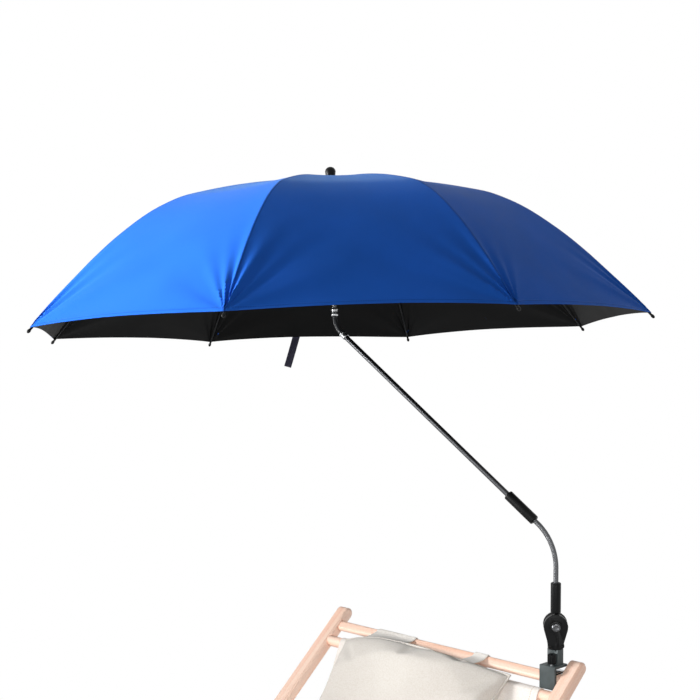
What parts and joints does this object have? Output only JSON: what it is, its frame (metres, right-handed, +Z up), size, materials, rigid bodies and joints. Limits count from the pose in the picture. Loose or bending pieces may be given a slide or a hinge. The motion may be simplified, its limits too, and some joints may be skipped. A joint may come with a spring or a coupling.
{
  "type": "folding sling chair with parasol",
  "caption": "Folding wooden sling chair with canvas seat, headrest pillow and a tilting parasol clamped to its top bar.",
  "frame": {"origin": "middle of the bounding box on the floor plane", "axes": "+Z up, -Y the way the sitter faces, +X to the sitter's left"},
  "size_m": [1.0716, 1.4146, 1.642],
  "materials": {
    "beech": "satin lacquered beech",
    "chromed_steel": "plated steel",
    "painted_steel": "black painted wire",
    "canvas": "off-white cotton canvas",
    "taffeta": "blue woven polyester, dark coated inside",
    "webbing": "dark woven strap",
    "grey_plastic": "moulded, fine texture",
    "black_plastic": "moulded, fine texture",
    "liner_rubber": "matt rubber pad"
  },
  "bodies": {
    "back_frame": {"back_rail_left": "beech", "back_rail_right": "beech", "top_crossbar": "beech", "top_sling_dowel": "beech", "foot_crossbar": "beech", "seat_pivot_bolt_left": "chromed_steel", "seat_pivot_bolt_right": "chromed_steel", "prop_pivot_bolt_left": "chromed_steel", "prop_pivot_bolt_right": "chromed_steel", "clamp_body": "grey_plastic", "fixed_jaw_liner": "liner_rubber", "sling": "canvas", "headrest_pillow": "canvas"},
    "seat_frame": {"seat_rail_left": "beech", "seat_rail_right": "beech", "front_sling_dowel": "beech", "seat_crossbar": "beech"},
    "prop_frame": {"prop_rail_left": "beech", "prop_rail_right": "beech", "prop_crossbar": "beech"},
    "jaw": {"clamp_slider": "chromed_steel", "slider_liner": "liner_rubber"},
    "screw": {"clamp_screw": "chromed_steel", "clamp_knob": "black_plastic"},
    "swivel": {"swivel_base": "black_plastic", "tilt_bolt": "chromed_steel"},
    "lever": {"tilt_lever": "black_plastic"},
    "head": {"tilt_head": "black_plastic", "lower_sleeve": "black_plastic", "lower_neck": "chromed_steel"},
    "arm": {"upper_sleeve": "black_plastic"},
    "pole_body": {"pole": "chromed_steel", "pole_ferrule": "chromed_steel", "upper_neck": "grey_plastic"},
    "hub": {"shaft_ferrule": "chromed_steel", "shaft": "chromed_steel", "crown": "black_plastic", "finial": "black_plastic", "canopy": "taffeta"},
    "runner_body": {"runner": "black_plastic"},
    "button": {"catch_button": "grey_plastic"},
    "rib_body_1": {"rib_1": "painted_steel"},
    "stretcher_body_1": {"stretcher_1": "painted_steel"},
    "rib_body_2": {"rib_2": "painted_steel"},
    "stretcher_body_2": {"stretcher_2": "painted_steel"},
    "rib_body_3": {"rib_3": "painted_steel"},
    "stretcher_body_3": {"stretcher_3": "painted_steel"},
    "rib_body_4": {"rib_4": "painted_steel", "tie_strap": "webbing"},
    "stretcher_body_4": {"stretcher_4": "painted_steel"},
    "rib_body_5": {"rib_5": "painted_steel"},
    "stretcher_body_5": {"stretcher_5": "painted_steel"},
    "rib_body_6": {"rib_6": "painted_steel"},
    "stretcher_body_6": {"stretcher_6": "painted_steel"},
    "rib_body_7": {"rib_7": "painted_steel"},
    "stretcher_body_7": {"stretcher_7": "painted_steel"},
    "rib_body_8": {"rib_8": "painted_steel"},
    "stretcher_body_8": {"stretcher_8": "painted_steel"}
  },
  "joints": [
    {"name": "seat_fold", "type": "hinge", "parent": "back_frame", "child": "seat_frame", "pos_m": [0.19725, -0.35395, 0.29523], "axis": [1, 0, 0], "range_deg": [0, 69.14], "deforming": ["sling"]},
    {"name": "prop_swing", "type": "hinge", "parent": "back_frame", "child": "prop_frame", "pos_m": [0.19725, -0.0898, 0.52485], "axis": [1, 0, 0], "range_deg": [0, 109.36]},
    {"name": "jaw_slide", "type": "slide", "parent": "back_frame", "child": "jaw", "axis": [0, 0, 1], "range_m": [0, 0.0045]},
    {"name": "screw_turn", "type": "hinge", "parent": "jaw", "child": "screw", "pos_m": [0.43325, 0.22773, 0.80827], "axis": [0, 0, 1], "range_deg": [0, 1080.1]},
    {"name": "base_swivel", "type": "hinge", "parent": "back_frame", "child": "swivel", "pos_m": [0.42925, 0.24224, 0.80827], "axis": [0, 0, 1], "range_deg": [-40, 40]},
    {"name": "head_tilt", "type": "hinge", "parent": "swivel", "child": "head", "pos_m": [0.42925, 0.24224, 0.89226], "axis": [0.6428, -0.766, 0], "range_deg": [-20, 20]},
    {"name": "lock_lever", "type": "hinge", "parent": "swivel", "child": "lever", "pos_m": [0.42925, 0.24224, 0.89226], "axis": [0.6428, -0.766, 0], "range_deg": [0, 90]},
    {"name": "lower_neck_bend", "type": "hinge", "parent": "head", "child": "arm", "pos_m": [0.42925, 0.24224, 1.02736], "axis": [-0.165, 0.9863, 0], "range_deg": [-15, 30], "deforming": ["lower_neck"]},
    {"name": "pole_twist", "type": "hinge", "parent": "arm", "child": "pole_body", "pos_m": [0.36555, 0.23158, 1.07674], "axis": [-0.7835, -0.1311, 0.6074], "range_deg": [-30, 30]},
    {"name": "upper_neck_bend", "type": "hinge", "parent": "pole_body", "child": "hub", "pos_m": [-0.00118, 0.1702, 1.36103], "axis": [-0.2078, 0.9765, -0.0573], "range_deg": [-48, 20], "deforming": ["upper_neck"]},
    {"name": "runner_slide", "type": "slide", "parent": "hub", "child": "runner_body", "axis": [-0.0829, 0.0408, 0.9957], "range_m": [-0.09079, 0]},
    {"name": "catch_press", "type": "slide", "parent": "runner_body", "child": "button", "axis": [-0.6188, -0.7853, -0.0193], "range_m": [0, 0.002], "stiffness_N_per_m": 400, "springref_m": -0.001},
    {"name": "rib_fold_1", "type": "hinge", "parent": "hub", "child": "rib_body_1", "pos_m": [-0.01283, 0.18603, 1.61657], "axis": [-0.4849, 0.8712, -0.076], "range_deg": [0, 58], "deforming": ["canopy"]},
    {"name": "stretcher_pivot_1", "type": "hinge", "parent": "rib_body_1", "child": "stretcher_body_1", "pos_m": [0.057, 0.22503, 1.61809], "axis": [-0.4849, 0.8712, -0.076], "range_deg": [-81.21, 0]},
    {"name": "rib_fold_2", "type": "hinge", "parent": "hub", "child": "rib_body_2", "pos_m": [-0.01941, 0.19123, 1.61581], "axis": [-0.9585, 0.2702, -0.0908], "range_deg": [0, 58.01]},
    {"name": "stretcher_pivot_2", "type": "hinge", "parent": "rib_body_2", "child": "stretcher_body_2", "pos_m": [0.00262, 0.26803, 1.6118], "axis": [-0.9585, 0.2702, -0.0908], "range_deg": [-81.21, 0]},
    {"name": "rib_fold_3", "type": "hinge", "parent": "hub", "child": "rib_body_3", "pos_m": [-0.02774, 0.19023, 1.61516], "axis": [-0.8706, -0.4892, -0.0524], "range_deg": [0, 58.01]},
    {"name": "stretcher_pivot_3", "type": "hinge", "parent": "rib_body_3", "child": "stretcher_body_3", "pos_m": [-0.06629, 0.25978, 1.6064], "axis": [-0.8706, -0.4892, -0.0524], "range_deg": [-81.21, 0]},
    {"name": "rib_fold_4", "type": "hinge", "parent": "hub", "child": "rib_body_4", "pos_m": [-0.03295, 0.18362, 1.615], "axis": [-0.2727, -0.9619, 0.0167], "range_deg": [0, 58.01]},
    {"name": "stretcher_pivot_4", "type": "hinge", "parent": "rib_body_4", "child": "stretcher_body_4", "pos_m": [-0.10936, 0.20511, 1.60506], "axis": [-0.2727, -0.9619, 0.0167], "range_deg": [-81.21, 0]},
    {"name": "rib_fold_5", "type": "hinge", "parent": "hub", "child": "rib_body_5", "pos_m": [-0.03198, 0.17527, 1.61542], "axis": [0.4849, -0.8712, 0.076], "range_deg": [0, 58.01]},
    {"name": "stretcher_pivot_5", "type": "hinge", "parent": "rib_body_5", "child": "stretcher_body_5", "pos_m": [-0.10137, 0.13605, 1.60855], "axis": [0.4849, -0.8712, 0.076], "range_deg": [-81.21, 0]},
    {"name": "rib_fold_6", "type": "hinge", "parent": "hub", "child": "rib_body_6", "pos_m": [-0.02541, 0.17007, 1.61618], "axis": [0.9585, -0.2702, 0.0908], "range_deg": [0, 58.01]},
    {"name": "stretcher_pivot_6", "type": "hinge", "parent": "rib_body_6", "child": "stretcher_body_6", "pos_m": [-0.04699, 0.09305, 1.61484], "axis": [0.9585, -0.2702, 0.0908], "range_deg": [-81.21, 0]},
    {"name": "rib_fold_7", "type": "hinge", "parent": "hub", "child": "rib_body_7", "pos_m": [-0.01707, 0.17106, 1.61683], "axis": [0.8706, 0.4892, 0.0524], "range_deg": [0, 58.01]},
    {"name": "stretcher_pivot_7", "type": "hinge", "parent": "rib_body_7", "child": "stretcher_body_7", "pos_m": [0.02192, 0.1013, 1.62024], "axis": [0.8706, 0.4892, 0.0524], "range_deg": [-81.21, 0]},
    {"name": "rib_fold_8", "type": "hinge", "parent": "hub", "child": "rib_body_8", "pos_m": [-0.01186, 0.17767, 1.61699], "axis": [0.2727, 0.9619, -0.0167], "range_deg": [0, 58.01]},
    {"name": "stretcher_pivot_8", "type": "hinge", "parent": "rib_body_8", "child": "stretcher_body_8", "pos_m": [0.06499, 0.15596, 1.62158], "axis": [0.2727, 0.9619, -0.0167], "range_deg": [-81.21, 0]}
  ],
  "couplings": [
    {"joint": "prop_swing", "follows": "seat_fold", "ratio": 1.5816},
    {"joint": "screw_turn", "follows": "jaw_slide", "rad_per_m": 4188.8},
    {"joint": "runner_slide", "follows": "rib_fold_1", "m_per_rad": -0.089665},
    {"joint": "stretcher_pivot_1", "follows": "rib_fold_1", "ratio": -1.4},
    {"joint": "rib_fold_2", "follows": "rib_fold_1", "ratio": 1},
    {"joint": "stretcher_pivot_2", "follows": "rib_fold_1", "ratio": -1.4},
    {"joint": "rib_fold_3", "follows": "rib_fold_1", "ratio": 1},
    {"joint": "stretcher_pivot_3", "follows": "rib_fold_1", "ratio": -1.4},
    {"joint": "rib_fold_4", "follows": "rib_fold_1", "ratio": 1},
    {"joint": "stretcher_pivot_4", "follows": "rib_fold_1", "ratio": -1.4},
    {"joint": "rib_fold_5", "follows": "rib_fold_1", "ratio": 1},
    {"joint": "stretcher_pivot_5", "follows": "rib_fold_1", "ratio": -1.4},
    {"joint": "rib_fold_6", "follows": "rib_fold_1", "ratio": 1},
    {"joint": "stretcher_pivot_6", "follows": "rib_fold_1", "ratio": -1.4},
    {"joint": "rib_fold_7", "follows": "rib_fold_1", "ratio": 1},
    {"joint": "stretcher_pivot_7", "follows": "rib_fold_1", "ratio": -1.4},
    {"joint": "rib_fold_8", "follows": "rib_fold_1", "ratio": 1},
    {"joint": "stretcher_pivot_8", "follows": "rib_fold_1", "ratio": -1.4}
  ]
}
